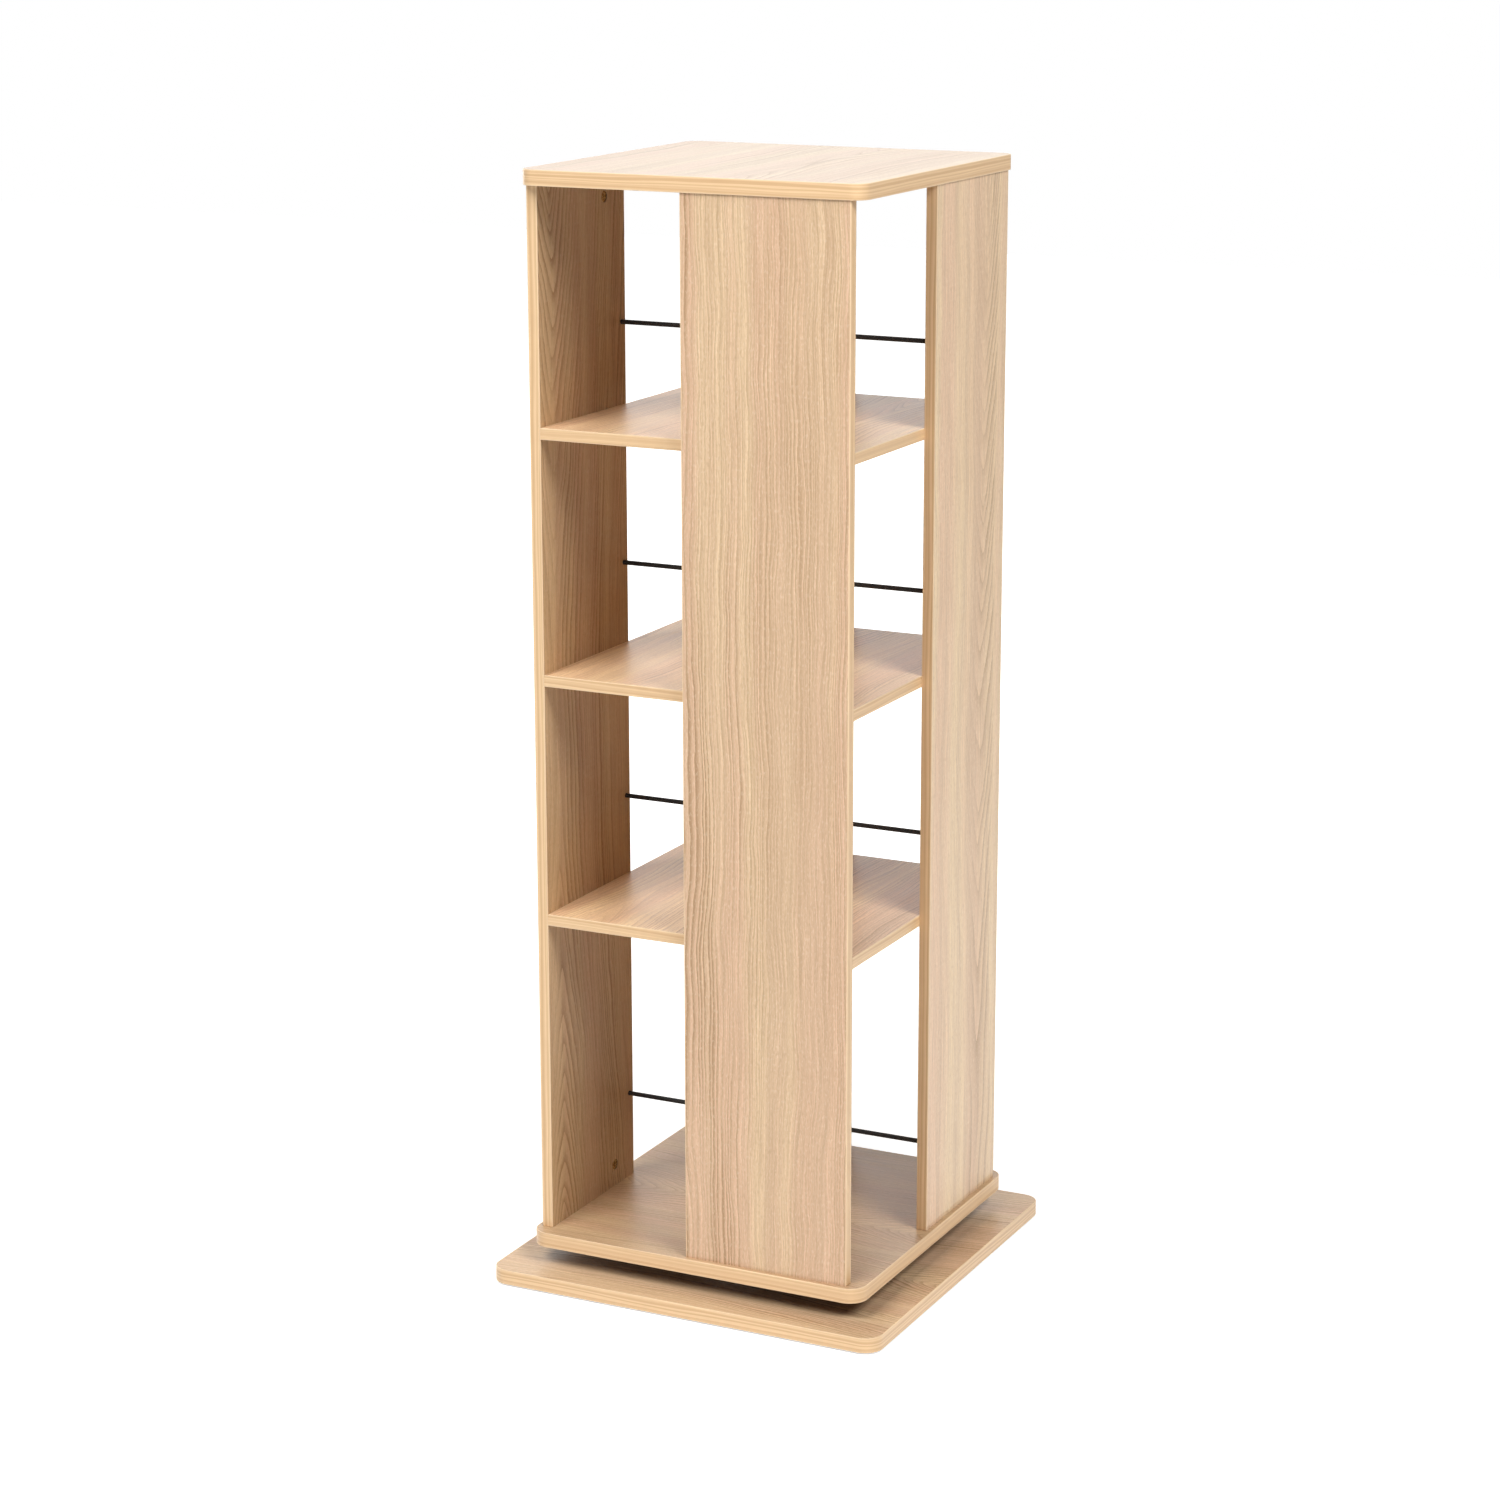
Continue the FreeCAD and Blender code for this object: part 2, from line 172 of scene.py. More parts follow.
floor_mesh.materials.append(floor_paint)

surround = bpy.data.worlds.new("surround")
surround.use_nodes = True
tree = surround.node_tree
tree.nodes.clear()
white = add_node(tree, "Background", {
    "Color": (1, 1, 1, 1),
    "Strength": by_ray(tree, white_in_view, white_in_gloss, white_on_matt)})
add_node(tree, "OutputWorld", {"Surface": white.outputs[0]})
scene.world = surround

for name, azimuth, elevation, distance, width, height, power in lamps:
    light = bpy.data.lights.new(name, "AREA")
    light.shape, light.size, light.size_y = "RECTANGLE", width, height
    light.energy = power
    lamp = bpy.data.objects.new(name, light)
    lamp.matrix_world = looking_at(camera_target, math.radians(azimuth),
                                   math.radians(elevation), distance)
    lamp.visible_camera = False
    scene.collection.objects.link(lamp)


# ---- base board --------------------------------------------------------------------
# The fixed square foot: chipboard faced with printed oak paper under melamine, its
# corners rounded, its cut edge covered by a glued band. It stays still on the floor.

X, Y, Z = np.eye(3)
laminate_light = (0.884, 0.652, 0.396, 1)
laminate_pink = (0.841, 0.566, 0.363, 1)
laminate_grey = (0.700, 0.480, 0.300, 1)
laminate_dark = (0.460, 0.270, 0.135, 1)
laminate_fleck = (1.000, 0.830, 0.620, 1)
laminate_rough = (0.34, 0.46)
laminate_relief, relief_depth = 0.35, 0.0001
chip_light = (0.50, 0.36, 0.22, 1)
chip_dark = (0.22, 0.14, 0.08, 1)
chip_scale = 420.0
# Painted shade: a plain dark brown sheet under the base and bottom boards
shade_sheet_light = (0.23, 0.15, 0.09, 1)
shade_sheet_dark = (0.15, 0.095, 0.055, 1)
shade_sheet_scale, shade_sheet_detail = 260.0, 3.0
shade_sheet_depth = 0.010               # painted shade: the dark sheet starts this far under a board's face
other_side_shift = 9.0            # the print on a board's other face is this far along
square_on = (0.6, 0.8)            # surfaces this square to the faces carry the print
gloss_span = (0.3, 0.7)           # the part of a noise that moves a gloss

# Each pattern is a noise drawn out along the grain: its scale across and along it per
# metre, its detail and its roughness. A span is the part of the noise that is used.
sway_grain, sway_reach = (5, 2.5, 2.0, 0.5), 0.026             # slow bends
ripple_grain, ripple_reach = (36, 10, 3.0, 0.5), 0.009         # small bends of a ring
tone_grain, tone_span = (26, 0.5, 1.0, 0.5), (0.40, 0.60)      # wide pink stripes
grey_grain, grey_span = (45, 0.6, 2.0, 0.5), (0.46, 0.66)      # narrower grey stripes
wisp_grain, wisp_span = (300, 5, 2.0, 0.6), (0.35, 0.65)       # long soft dark lines
fibre_grain, fibre_span = (900, 10, 3.0, 0.75), (0.38, 0.60)   # the finest dark lines
pore_grain, pore_span = (900, 150, 1.0, 0.5), (0.56, 0.68)     # short dark dashes
fleck_grain, fleck_span = (760, 210, 1.0, 0.5), (0.56, 0.68)   # short light dashes
grey_amount, wisp_amount, fibre_amount = 0.50, 0.18, 0.38
pore_amount, fleck_amount = 0.24, 0.24

ring_point = 1.45                 # 2 gives round arches, 1 gives pointed ones
ring_fade = 2.2                   # a higher power leaves a thinner dark row
ring_wander, wander_length = 3.0, 4.0    # the rings' drift and its length, in rings
patch_grain, patch_span = (24, 1.2, 2.0, 0.5), (0.40, 0.60)    # where the rings show
faint_patch = 0.25                # how dark the rings still are elsewhere
arch_fade = 0.1                   # softness of the arches' edge, for its distance
line_detail = 2.0


def blend_colours(tree, factor, first, second, kind="MIX"):
    """Mixes two colours by a factor."""
    made = tree.nodes.new("ShaderNodeMix")
    made.data_type, made.blend_type = "RGBA", kind
    for socket, value in ((0, factor), (6, first), (7, second)):
        if isinstance(value, bpy.types.NodeSocket):
            tree.links.new(value, made.inputs[socket])
        else:
            made.inputs[socket].default_value = value
    return made.outputs[2]


def lay_over(tree, colour, pattern, amount, over):
    """Lays another colour over a colour where a pattern is strong."""
    return blend_colours(tree, calculate(tree, "MULTIPLY", pattern, amount), colour, over)


def streaks(tree, across, along, across_scale, along_scale, detail, roughness):
    """Noise on (across, along) in metres, drawn out along the grain."""
    point = add_node(tree, "CombineXYZ", {
        0: calculate(tree, "MULTIPLY", across, across_scale),
        1: calculate(tree, "MULTIPLY", along, along_scale)}).outputs[0]
    return add_node(tree, "TexNoise", {
        "Vector": point, "Scale": 1.0, "Detail": detail, "Roughness": roughness},
        noise_dimensions="2D").outputs[0]


def lines(tree, place, scale, roughness=0.5):
    """Noise along one measure in metres, for rings and stripes."""
    return add_node(tree, "TexNoise", {
        "W": place, "Scale": scale, "Detail": line_detail, "Roughness": roughness},
        noise_dimensions="1D").outputs[0]


def relief(tree, height, strength, depth=relief_depth):
    """A fine relief from a pattern."""
    return add_node(tree, "Bump", {
        "Strength": strength, "Distance": depth, "Height": height}).outputs[0]


def finish(tree, inputs):
    """Ends a material with one surface that has these inputs."""
    surface = add_node(tree, "BsdfPrincipled", inputs)
    add_node(tree, "OutputMaterial", {"Surface": surface.outputs[0]})


def oak_laminate(name, across, along, face, heart, start, depth, bow, ring_width,
                 over_heart, beside, arch_half=0.036, greyed=0.0, middle=0.0,
                 light_and_shade_tint=(1.0, 1.0, 1.0), shade_sheet_under=False):
    """Oak print for one board, from Object coordinates.

    u runs across the grain from the heart line, and v along it. The printed face lies
    at face on the axis across x along, which points down for a board with the dark
    shade sheet under it. A board is a flat cut through growth rings whose heart is
    d = depth - bow (length - middle)^2 under its face. With n = ring_point the rings'
    radius is (|u|^n + d^n)^(1/n): far from the heart line they are straight lines, and
    over it they close in long arches. Each ring starts with a dark row of pores and
    fades. over_heart and beside say how dark the rings are within arch_half of the
    heart line and past it, and greyed how grey the print is within it. Noise drawn
    out along v sways the rings and gives fibres, flecks and pores. start picks the part
    of the noise. The tint multiplies the colours: painted light and shade that makes a
    board lighter, darker or bluer for how the light falls on it. A board with the shade
    sheet gets plain dark brown underneath, painted shade that darkens the gap under it,
    and a cut or a bore in any board shows chips.
    """
    material, tree = new_material(name)
    spot = add_node(tree, "TexCoord")
    place = spot.outputs["Object"]

    def measure(vector, direction):
        """A vector's length along a direction."""
        return add_node(tree, "VectorMath", {0: vector, 1: tuple(direction)},
                        operation="DOT_PRODUCT").outputs["Value"]

    def moved(value, noise, reach):
        """A value moved to either side by a noise, at most by half the reach."""
        off_centre = calculate(tree, "SUBTRACT", noise, 0.5)
        return calculate(tree, "MULTIPLY_ADD", off_centre, reach, value)

    def power(value, exponent):
        """The value's size, raised to an exponent."""
        return calculate(tree, "POWER", calculate(tree, "ABSOLUTE", value), exponent)

    through = np.cross(across, along)
    under_face = calculate(tree, "SUBTRACT", measure(place, through), face)
    u = calculate(tree, "SUBTRACT", measure(place, across), heart)
    u = calculate(tree, "MULTIPLY_ADD", under_face, other_side_shift, u)
    length = measure(place, along)
    v = calculate(tree, "ADD", length, start)
    u = moved(u, streaks(tree, u, v, *sway_grain), sway_reach)
    u = moved(u, streaks(tree, u, v, *ripple_grain), ripple_reach)

    from_middle = calculate(tree, "SUBTRACT", length, middle)
    sunk = calculate(tree, "MULTIPLY_ADD", power(from_middle, 2.0), -bow, depth)
    radius = power(calculate(tree, "ADD", power(u, ring_point), power(sunk, ring_point)),
                   1 / ring_point)
    wander = lines(tree, radius, 1 / (wander_length * ring_width))
    radius = moved(radius, wander, ring_wander * ring_width)
    age = calculate(tree, "FRACT", calculate(tree, "DIVIDE", radius, ring_width))
    ring = power(calculate(tree, "SUBTRACT", 1.0, age), ring_fade)
    arches = spread(tree, calculate(tree, "ABSOLUTE", u),
                    (1 + arch_fade) * arch_half, (1 - arch_fade) * arch_half)
    darkness = spread(tree, arches, 0, 1, beside, over_heart)
    ring = calculate(tree, "MULTIPLY", ring, darkness)
    patches = streaks(tree, u, v, *patch_grain)
    patches = spread(tree, patches, *patch_span, faint_patch, 1.0)
    ring = calculate(tree, "MULTIPLY", ring, patches)

    fibres = streaks(tree, u, v, *fibre_grain)
    wisps = streaks(tree, u, v, *wisp_grain)
    pores = spread(tree, streaks(tree, u, v, *pore_grain), *pore_span)
    flecks = spread(tree, streaks(tree, u, v, *fleck_grain), *fleck_span)
    tone = spread(tree, streaks(tree, u, v, *tone_grain), *tone_span)
    shade = spread(tree, streaks(tree, u, v, *grey_grain), *grey_span)

    colour = blend_colours(tree, tone, laminate_light, laminate_pink)
    colour = lay_over(tree, colour, shade, grey_amount, laminate_grey)
    colour = lay_over(tree, colour, arches, greyed, laminate_grey)
    colour = blend_colours(tree, ring, colour, laminate_dark)
    colour = lay_over(tree, colour, flecks, fleck_amount, laminate_fleck)
    for noise, span, amount in ((wisps, wisp_span, wisp_amount),
                                (fibres, fibre_span, fibre_amount)):
        colour = blend_colours(tree, spread(tree, noise, *span, amount, 0.0), colour,
                               laminate_dark)
    colour = lay_over(tree, colour, pores, pore_amount, laminate_dark)
    # painted light and shade: the tint lightens, darkens or blues a whole board
    colour = blend_colours(tree, 1.0, colour, (*light_and_shade_tint, 1.0), "MULTIPLY")

    # painted shade: a dark sheet underneath that darkens the gap below the board
    if shade_sheet_under:
        shade_sheet_mottle = add_node(tree, "TexNoise", {
            "Vector": place, "Scale": shade_sheet_scale, "Detail": shade_sheet_detail}).outputs[0]
        shade_sheet = blend_colours(tree, shade_sheet_mottle, shade_sheet_dark, shade_sheet_light)
        colour = blend_colours(tree, calculate(
            tree, "GREATER_THAN", under_face, shade_sheet_depth), colour, shade_sheet)

    chips = add_node(tree, "TexVoronoi", {
        "Vector": place, "Scale": chip_scale, "Randomness": 1.0})
    raw = blend_colours(tree, chips.outputs["Color"], chip_dark, chip_light)
    faced = spread(tree, calculate(tree, "ABSOLUTE", measure(
        spot.outputs["Normal"], through)), *square_on)
    finish(tree, {
        "Base Color": blend_colours(tree, faced, raw, colour),
        "Roughness": spread(tree, fibres, *gloss_span, *laminate_rough),
        "Normal": relief(tree, calculate(tree, "SUBTRACT", fibres, pores),
                         laminate_relief)})
    return material


def dress(node, material):
    """Gives a solid from the frame its finish."""
    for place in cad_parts[node].material_slots:
        place.material = material


def top_of(node):
    """Height of a node's upper face."""
    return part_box(node)[1].z


# Painted shade: the tint darkens the base board; the dark sheet lines its underside.
dress("base_board", oak_laminate(
    "base_laminate", Y, X, -top_of("base_board"), heart=-0.06, start=3.1, depth=0.05,
    bow=0.8, ring_width=0.0040, over_heart=1.6, beside=1.6, light_and_shade_tint=(0.88, 0.87, 0.87),
    shade_sheet_under=True))


# ---- base board's edge band --------------------------------------------------------
# A 1 mm oak-print strip glued once round the cut edge, its two long edges eased. The
# bottom and top boards have the same band, so its profile and its print start here.

band_thickness = 0.001
band_arris = 0.0005
arris_steps = 4
corner_steps = 14
sharp_angle = math.radians(50)
band_light = (0.870, 0.620, 0.365, 1)
band_dark = (0.700, 0.450, 0.240, 1)
# Painted highlight: a lighter colour along each eased arris of a band.
band_arris_highlight = (0.950, 0.780, 0.560, 1)
band_rough = (0.36, 0.48)
band_relief = 0.3
band_sway_grain, band_sway_reach = (50, 4, 2.0, 0.5), 0.007
band_fibre_grain, band_fibre_span = (900, 14, 3.0, 0.65), (0.35, 0.75)
band_stripe_scale, band_stripe_roughness, band_stripe_span = 360, 0.6, (0.38, 0.60)
band_fibre_amount, band_arris_highlight_amount = 0.30, 0.35
highlight_near, highlight_far = 0.0007, 0.0012    # painted highlight: the arris is lighter this far from its edge


def band_profile(height):
    """Closed outline of a band's cut: (distance out of the board, height) pairs.

    The two outer corners are quarter circles, and the points beside them keep the flat
    between them flat when it is shaded smooth.
    """
    angle = np.linspace(0, np.pi / 2, arris_steps + 1)
    out = band_thickness - band_arris + band_arris * np.cos(angle)
    rise = height - band_arris + band_arris * np.sin(angle)
    beside = band_arris / 2
    outer = np.column_stack([
        np.concatenate([[band_thickness], out]),
        np.concatenate([[height - band_arris - beside], rise])])
    lower = outer[::-1] * (1, -1) + (0, height)
    return np.concatenate([[[0, 0]], lower, outer, [[0, height]]])


def rounded_square(side, radius):
    """Points and outward directions round a square with quarter-circle corners."""
    start = (1 + np.arange(4)[:, None]) * np.pi / 2
    angle = (start + np.linspace(0, np.pi / 2, corner_steps + 1)).ravel()
    outward = np.column_stack([np.cos(angle), np.sin(angle)])
    middle = np.repeat(start.ravel() + np.pi / 4, corner_steps + 1)
    centre = (side / 2 - radius) * math.sqrt(2) * np.column_stack(
        [np.cos(middle), np.sin(middle)])
    return centre + radius * outward, outward


def build(name, points, faces, along, across, once_round=None):
    """A smooth mesh piece with its print's place, in metres, in the map called grain.

    Where along goes once round, the quads that join the last row to the first count on
    from the last row.
    """
    mesh = bpy.data.meshes.new(name)
    mesh.from_pydata(points.tolist(), [], faces)
    loop_vertex = np.empty(len(mesh.loops), np.int32)
    mesh.loops.foreach_get("vertex_index", loop_vertex)
    place = np.column_stack([along, across])[loop_vertex]
    if once_round:
        quads = place[:, 0].reshape(-1, 4)
        joins = np.ptp(quads, axis=1, keepdims=True) > once_round / 2
        place[:, 0] += (once_round * (joins & (quads < once_round / 2))).ravel()
    mesh.uv_layers.new(name="grain").data.foreach_set("uv", place.ravel())
    mesh.polygons.foreach_set("use_smooth", np.ones(len(mesh.polygons), bool))
    mesh.set_sharp_from_angle(angle=sharp_angle)
    piece = bpy.data.objects.new(name, mesh)
    scene.collection.objects.link(piece)
    return piece


def grid_faces(rows, columns, rows_close):
    """Quads between a grid's rows and columns; the columns always close on themselves."""
    row = np.arange(rows if rows_close else rows - 1)[:, None]
    column = np.arange(columns)[None, :]
    next_row = (row + 1) % rows
    next_column = (column + 1) % columns
    corners = [row * columns + column, next_row * columns + column,
               next_row * columns + next_column, row * columns + next_column]
    return np.stack(corners, -1).reshape(-1, 4)


def band_round(name, side, radius, low, high):
    """The band's profile carried once round a board.

    point = edge of the board + distance out x outward direction, and height above low.
    """
    profile = band_profile(high - low)
    path, outward = rounded_square(side - 2 * band_thickness, radius - band_thickness)
    flat = path[:, None] + profile[None, :, :1] * outward[:, None]
    height = np.broadcast_to(low + profile[:, 1], flat.shape[:2])
    points = np.concatenate([flat, height[..., None]], -1).reshape(-1, 3)
    run = np.cumsum(np.linalg.norm(np.diff(path, axis=0, prepend=path[-1:]), axis=1))
    along = np.broadcast_to((run - run[0])[:, None], flat.shape[:2]).ravel()
    faces = grid_faces(len(path), len(profile), rows_close=True).tolist()
    return build(name, points, faces, along, height.ravel() - (low + high) / 2,
                 once_round=run[-1])


def edge_band_print(name, start, height, place=None):
    """Long oak stripes that follow a band; place gives (along, across from its middle).

    Without a place they come from the map grain. The arrises get a painted highlight.
    """
    material, tree = new_material(name)
    if place is None:
        grain = add_node(tree, "UVMap", uv_map="grain")
        split = add_node(tree, "SeparateXYZ", {0: grain.outputs[0]})
        along, across = split.outputs[0], split.outputs[1]
    else:
        along, across = place(tree)
    v = calculate(tree, "ADD", along, start)
    u = calculate(tree, "ADD", across, start)
    sway = streaks(tree, u, v, *band_sway_grain)
    u = calculate(tree, "MULTIPLY_ADD", sway, band_sway_reach, u)
    stripes = spread(tree, lines(tree, u, band_stripe_scale, band_stripe_roughness),
                     *band_stripe_span)
    fibres = streaks(tree, u, v, *band_fibre_grain)
    arris = spread(tree, calculate(tree, "ABSOLUTE", across), height / 2 - highlight_far,
                   height / 2 - highlight_near)
    colour = blend_colours(tree, stripes, band_dark, band_light)
    colour = blend_colours(tree, spread(
        tree, fibres, *band_fibre_span, band_fibre_amount, 0.0), colour, band_dark)
    # painted highlight along both arrises
    colour = lay_over(tree, colour, arris, band_arris_highlight_amount, band_arris_highlight)
    finish(tree, {
        "Base Color": colour, "Roughness": spread(tree, fibres, *gloss_span, *band_rough),
        "Normal": relief(tree, fibres, band_relief)})
    return material


base_corner_radius = 0.020
low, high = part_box("base_edge_band")
base_band = band_round("base_band", high.x - low.x, base_corner_radius, low.z, high.z)
base_band.data.materials.append(edge_band_print(
    "base_band_print", start=0.4, height=high.z - low.z))
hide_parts("base_edge_band")
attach(base_band, "base")


# ---- floor pads --------------------------------------------------------------------
# Four round pads of black rubber foam stuck under the base board's corners, which
# keep it from sliding and level it.

rubber_dark = (0.012, 0.012, 0.013, 1)
rubber_light = (0.035, 0.035, 0.036, 1)


def speckled(name, dark, light, scale, detail, rough, bump=0.0, bump_depth=relief_depth,
             more=None):
    """A plain material with a fine speckle between two colours.

    The speckle takes the roughness from its first value to its second, and stands up
    where there is a bump. more holds any other inputs of the surface.
    """
    material, tree = new_material(name)
    spot = add_node(tree, "TexCoord")
    speck = add_node(tree, "TexNoise", {
        "Vector": spot.outputs["Object"], "Scale": scale, "Detail": detail}).outputs[0]
    inputs = {"Base Color": blend_colours(tree, speck, dark, light),
              "Roughness": spread(tree, speck, *gloss_span, *rough), **(more or {})}
    if bump:
        inputs["Normal"] = relief(tree, speck, bump, bump_depth)
    finish(tree, inputs)
    return material


dress("floor_pads", speckled(
    "pad_rubber_foam", rubber_dark, rubber_light, scale=900.0, detail=3.0,
    rough=(0.85, 0.85), bump=0.5, bump_depth=0.0002))


# ---- turntable ---------------------------------------------------------------------
# Two aluminium rings with steel balls between them in a nylon cage. The outer ring is
# screwed to the base board from below, and the inner ring to the turning board above.

aluminium_colour = (0.78, 0.79, 0.80)
ball_colour = (0.62, 0.62, 0.63)
zinc_colour = (0.66, 0.67, 0.69)
nylon_dark = (0.62, 0.60, 0.54, 1)
nylon_light = (0.76, 0.74, 0.68, 1)
tooling_shade = 0.82              # how much darker the metal is in a tooling mark
tooling_stretch = 4               # the marks are this much longer than wide
tooling_detail, tooling_roughness = 3.0, 0.6
tooling_relief, tooling_depth = 0.15, 0.00005


def metal(name, colour, rough, mark_scale):
    """A plain or plated metal: its gloss varies with fine tooling marks round the axis.

    The marks are noise on (distance from the tower's axis, height).
    """
    material, tree = new_material(name)
    spot = add_node(tree, "TexCoord")
    axes = add_node(tree, "SeparateXYZ", {0: spot.outputs["Object"]}).outputs
    squares = [calculate(tree, "MULTIPLY", axis, axis) for axis in (axes[0], axes[1])]
    reach = calculate(tree, "SQRT", calculate(tree, "ADD", *squares))
    marks = streaks(tree, reach, axes[2], mark_scale, mark_scale / tooling_stretch,
                    tooling_detail, tooling_roughness)
    marked = tuple(tooling_shade * part for part in colour)
    finish(tree, {
        "Base Color": blend_colours(tree, marks, (*marked, 1), (*colour, 1)),
        "Metallic": 1.0, "Roughness": spread(tree, marks, *gloss_span, *rough),
        "Normal": relief(tree, marks, tooling_relief, tooling_depth)})
    return material


aluminium = metal(
    "turned_aluminium", aluminium_colour, rough=(0.28, 0.42), mark_scale=1500)
dress("turntable_outer_ring", aluminium)
dress("turntable_inner_ring", aluminium)
dress("bearing_balls", metal(
    "polished_steel", ball_colour, rough=(0.08, 0.14), mark_scale=700))
screw_steel = metal(
    "zinc_plated_steel", zinc_colour, rough=(0.25, 0.40), mark_scale=2500)
dress("outer_ring_screws", screw_steel)
dress("inner_ring_screws", screw_steel)
dress("ball_cage", speckled(
    "cage_nylon", nylon_dark, nylon_light, scale=160.0, detail=3.0, rough=(0.42, 0.55),
    more={"Subsurface Weight": 0.15, "Subsurface Scale": 0.002}))


# ---- turning bottom board ----------------------------------------------------------
# The tower's floor: the same faced chipboard as the base, screwed to the inner ring,
# with the four panels standing on it. Its band goes once round, corners included.

bottom_corner_radius = 0.020
# Painted shade: the tint darkens this board, and a dark sheet under it darkens the gap.
dress("bottom_board", oak_laminate(
    "bottom_laminate", Y, X, -top_of("bottom_board"), heart=-0.02, start=7.7, depth=0.06,
    bow=0.8, ring_width=0.0035, over_heart=1.0, beside=1.0, light_and_shade_tint=(0.74, 0.72, 0.69),
    shade_sheet_under=True))
low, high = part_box("bottom_edge_band")
bottom_band = band_round(
    "bottom_band", high.x - low.x, bottom_corner_radius, low.z, high.z)
bottom_band.data.materials.append(edge_band_print(
    "bottom_band_print", start=1.7, height=high.z - low.z))
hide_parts("bottom_edge_band")
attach(bottom_band, "tower")


# ---- upright panels ----------------------------------------------------------------
# Four equal faced boards set in a pinwheel, each passing the middle of its side. The
# grain runs upwards. Both upright edges have a band, cut flush at the ends.

band_end = 0.0007                 # the band's outer corners are filed round at its ends
first_panel_band_start = 2.3
panel_names = ["front", "right", "back", "left"]
# Painted light and shade: tints tone the front down, the right up, the left darker.
panel_prints = [
    dict(heart=-0.030, start=15.15, depth=0.060, bow=0.0, ring_width=0.0036,
         over_heart=2.2, beside=0.85, arch_half=0.080, light_and_shade_tint=(0.960, 0.972, 1.015)),
    dict(heart=0.120, start=5.20, depth=0.145, bow=0.115, middle=0.06, ring_width=0.0055,
         over_heart=1.05, beside=0.20, arch_half=0.033, greyed=0.35,
         light_and_shade_tint=(1.10, 1.15, 1.23)),
    dict(heart=0.060, start=9.40, depth=0.070, bow=0.15, middle=0.6, ring_width=0.0040,
         over_heart=0.7, beside=0.6),
    dict(heart=0.040, start=2.30, depth=0.080, bow=0.20, middle=0.6, ring_width=0.0050,
         over_heart=1.5, beside=1.4, light_and_shade_tint=(0.72, 0.67, 0.60)),
]


def turn(points, quarters):
    """Points turned by quarter turns about the tower's upright axis."""
    angle = quarters * math.pi / 2
    c, s = round(math.cos(angle)), round(math.sin(angle))
    return points @ np.array([[c, s, 0], [-s, c, 0], [0, 0, 1]])


def upright_strips(name, quarters, starts, outs, near_y, far_y, low, high):
    """Both bands of a panel: the band's profile carried up a straight edge.

    Each strip's rows lie at heights between low and high. Towards an end the outer face
    draws in by a quarter circle: out = thickness - r + sqrt(r^2 - (r - distance)^2).
    """
    angle = np.linspace(0, np.pi / 2, arris_steps + 1)
    from_end = band_end * (1 - np.cos(angle))
    drawn_in = band_end * (1 - np.sin(angle))
    rise = np.concatenate([low + from_end, [low + 2 * band_end, high - 2 * band_end],
                           (high - from_end)[::-1]])
    inward = np.concatenate([drawn_in, [0, 0], drawn_in[::-1]])
    profile = band_profile(far_y - near_y)
    row, total = np.arange(len(profile)), len(rise) * len(profile)
    grid = grid_faces(len(rise), len(profile), rows_close=False)
    ends = np.stack([row, total - 1 - row])
    points, faces, along, across = [], [], [], []
    for strip, (start, out) in enumerate(zip(starts, outs)):
        reach = np.minimum(profile[None, :, 0], band_thickness - inward[:, None])
        x = start + out * reach
        y = np.broadcast_to(near_y + profile[:, 1], x.shape)
        z = np.broadcast_to(rise[:, None], x.shape)
        for group in (grid + strip * total, ends + strip * total):
            faces += (group[:, ::-1] if out > 0 else group).tolist()
        points.append(np.stack([x, y, z], -1).reshape(-1, 3))
        along.append(z.ravel())
        across.append((y - (near_y + far_y) / 2).ravel())
    return build(name, turn(np.concatenate(points), quarters), faces,
                 np.concatenate(along), np.concatenate(across))


front_low, front_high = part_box("front_panel")
for quarters, side in enumerate(panel_names):
    dress(side + "_panel", oak_laminate(
        side + "_panel_laminate", turn(X, quarters), Z, -front_low.y,
        **panel_prints[quarters]))
    bands = upright_strips(
        side + "_panel_bands", quarters, (front_low.x, front_high.x), (-1, 1),
        front_low.y, front_high.y, front_low.z, front_high.z)
    bands.data.materials.append(edge_band_print(
        side + "_panel_band_print", start=first_panel_band_start + quarters,
        height=front_high.y - front_low.y))
    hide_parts(side + "_panel_edge_bands")
    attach(bands, "tower")


# ---- knock-down fittings -----------------------------------------------------------
# Zinc cam locks in the panels' inner faces and the shelves' undersides, each turned on
# a steel bolt, with a grooved beech dowel beside it.

# Yellow zinc, made darker than the metal is as painted shade for its recess.
yellow_zinc_and_shade_colour = (0.52, 0.35, 0.14)
beech_dark = (0.55, 0.36, 0.20, 1)
beech_light = (0.74, 0.55, 0.35, 1)

cam_zinc = metal("yellow_zinc", yellow_zinc_and_shade_colour, rough=(0.18, 0.32), mark_scale=1800)
dress("panel_cam_locks", cam_zinc)
dress("shelf_cam_locks", cam_zinc)
dress("panel_cam_bolts", screw_steel)
dress("shelf_cam_bolts", screw_steel)
beech = speckled("beech", beech_dark, beech_light, scale=1400.0, detail=2.0,
                 rough=(0.7, 0.7))
dress("panel_dowels", beech)
dress("shelf_dowels", beech)


# ---- shelves -----------------------------------------------------------------------
# Three square faced boards pulled against the panels by cams in their undersides. Each
# has four straight bands butted at the corners. Their grain runs from front to back.

shelf_hearts = (-0.12, 0.02, 0.10)
first_shelf_start, shelf_start_step = 13.7, 2.7
first_shelf_band_start = 5.0


def round_square_shelf(middle):
    """Along is x + y, which runs along every side of the square; across is the height."""
    def place(tree):
        """(along, across) from Object coordinates."""
        spot = add_node(tree, "TexCoord")
        axes = add_node(tree, "SeparateXYZ", {0: spot.outputs["Object"]}).outputs
        return (calculate(tree, "ADD", axes[0], axes[1]),
                calculate(tree, "SUBTRACT", axes[2], middle))
    return place


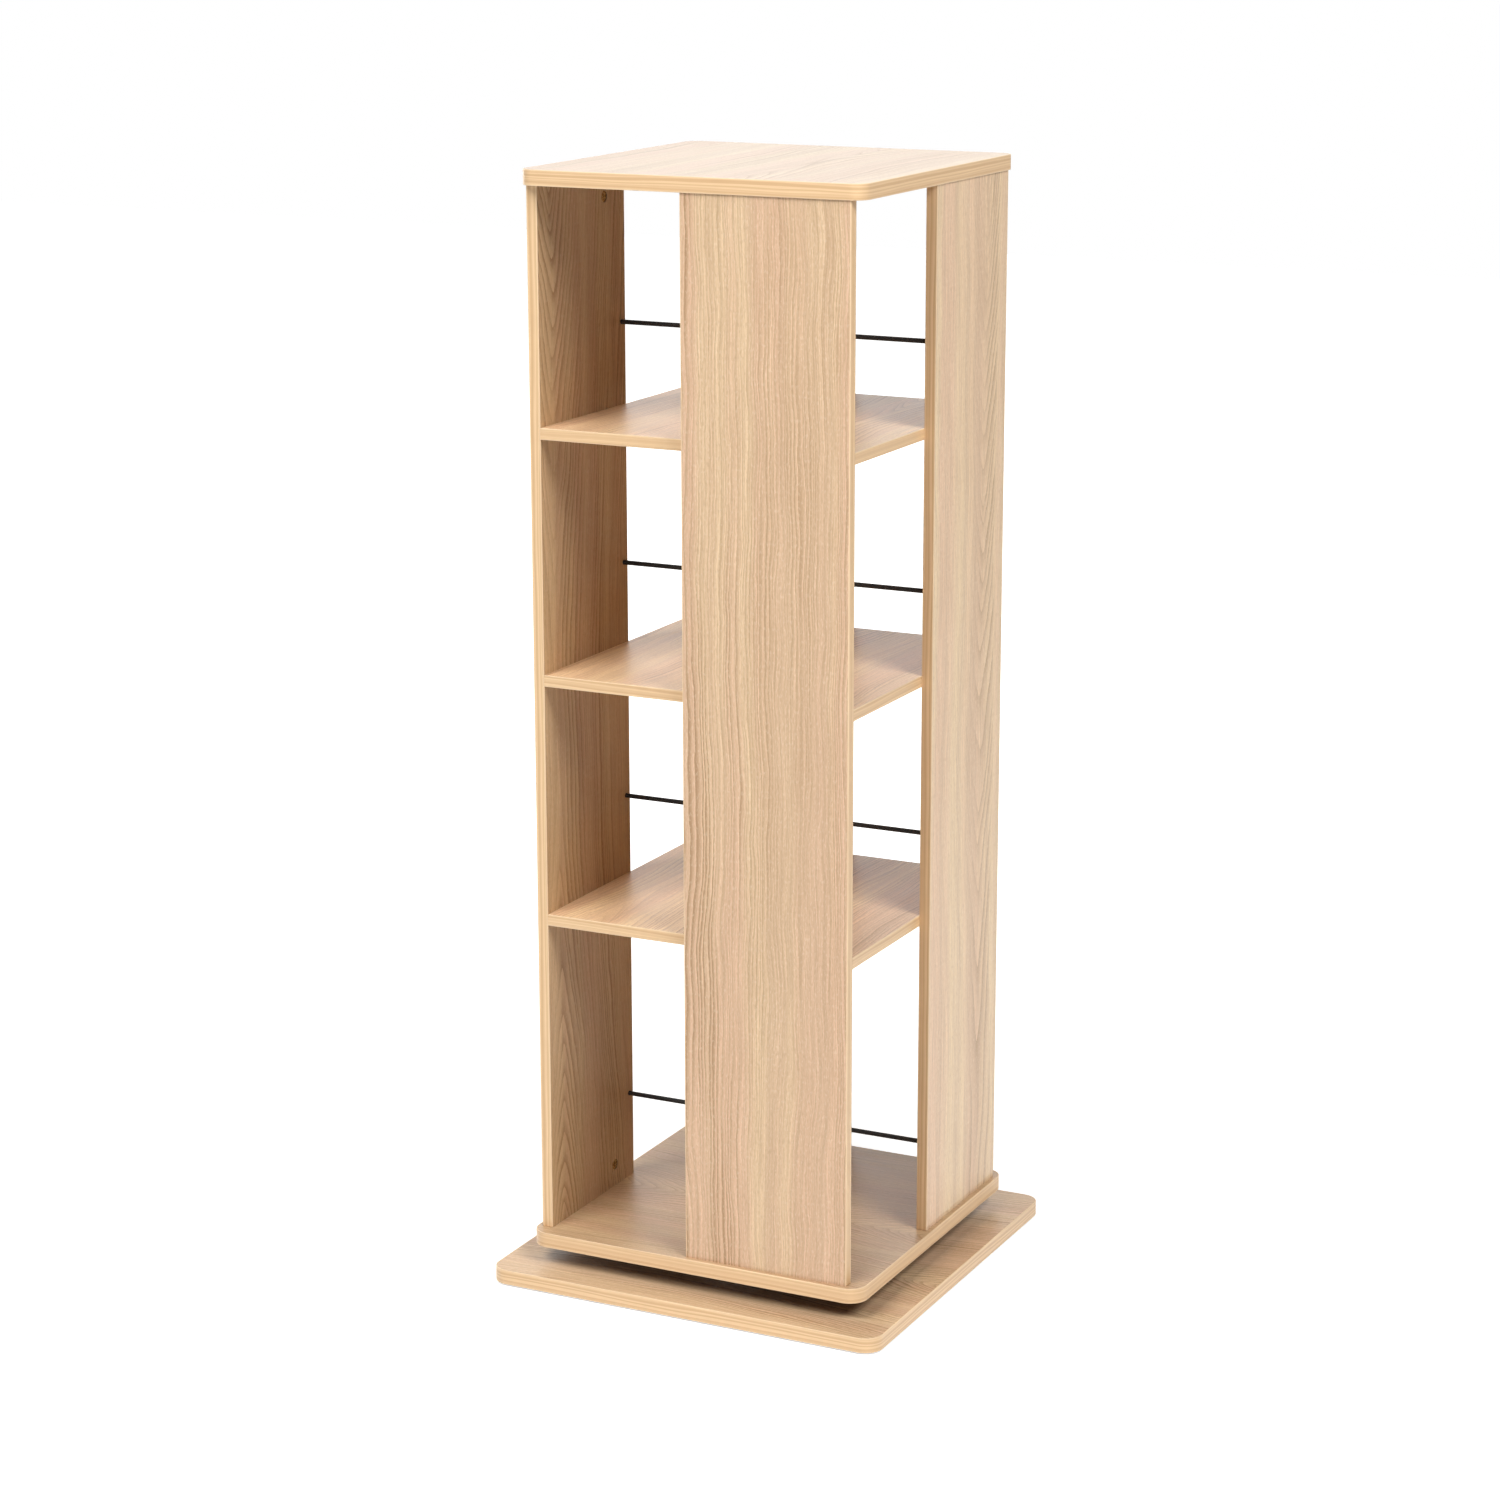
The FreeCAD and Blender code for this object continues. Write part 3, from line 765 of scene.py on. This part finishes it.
# Painted light: the tint lightens each shelf a little.
for number, heart in enumerate(shelf_hearts):
    node = "shelf_%d" % (number + 1)
    low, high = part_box(node)
    dress(node, oak_laminate(
        node + "_laminate", X, Y, top_of(node), heart,
        start=first_shelf_start + shelf_start_step * number, depth=0.06, bow=0.4,
        ring_width=0.0038, over_heart=1.1, beside=1.1, light_and_shade_tint=(1.08, 1.07, 1.05)))
    dress(node + "_edge_bands", edge_band_print(
        node + "_band_print", start=first_shelf_band_start + number,
        height=high.z - low.z, place=round_square_shelf((low.z + high.z) / 2)))


# ---- divider rods ------------------------------------------------------------------
# Straight steel rods, powder-coated matt black, one across each tier. Their ends sit
# in blind holes in the left and right panels.

rod_count = 4
rod_steps = 32
rod_chamfer = 0.0006
coat_dark = (0.008, 0.008, 0.009, 1)
coat_light = (0.020, 0.020, 0.021, 1)

black_coat = speckled("black_powder_coat", coat_dark, coat_light, scale=1300.0,
                      detail=2.0, rough=(0.38, 0.52), bump=0.3)


def rod(name, low, high):
    """A rod along X: (x, radius) pairs turned about its own axis.

    point = (x, axis y + radius cos a, axis z + radius sin a); both ends are chamfered,
    and each closes in one round face.
    """
    radius = (high.z - low.z) / 2
    x = np.array([low.x, low.x + rod_chamfer, low.x + 3 * rod_chamfer,
                  high.x - 3 * rod_chamfer, high.x - rod_chamfer, high.x])
    r = radius - np.array([rod_chamfer, 0, 0, 0, 0, rod_chamfer])
    angle = np.arange(rod_steps) * 2 * np.pi / rod_steps
    points = np.stack([
        np.broadcast_to(x[:, None], (len(x), rod_steps)),
        (low.y + high.y) / 2 + r[:, None] * np.cos(angle),
        (low.z + high.z) / 2 + r[:, None] * np.sin(angle)], -1).reshape(-1, 3)
    faces = grid_faces(len(x), rod_steps, rows_close=False)[:, ::-1].tolist()
    end = np.arange(rod_steps)
    faces += [end[::-1].tolist(), (end + len(points) - rod_steps).tolist()]
    return build(name, points, faces, points[:, 0], points[:, 2])


for number in range(1, rod_count + 1):
    node = "divider_rod_%d" % number
    piece = rod("black_rod_%d" % number, *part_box(node))
    piece.data.materials.append(black_coat)
    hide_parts(node)
    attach(piece, "tower")


# ---- top board ---------------------------------------------------------------------
# The lid on the four panels, a little proud of them, with rounded corners and its own
# band once round.

top_corner_radius = 0.016
# Painted sheen: the tint makes the top less yellow, for the white glare on it.
dress("top_board", oak_laminate(
    "top_laminate", X, Y, top_of("top_board"), heart=0.05, start=21.0, depth=0.09,
    bow=0.4, ring_width=0.0045, over_heart=0.8, beside=0.8, light_and_shade_tint=(0.83, 0.92, 1.08)))
low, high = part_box("top_edge_band")
top_band = band_round("top_band", high.x - low.x, top_corner_radius, low.z, high.z)
top_band.data.materials.append(edge_band_print(
    "top_band_print", start=6.1, height=high.z - low.z))
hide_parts("top_edge_band")
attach(top_band, "tower")
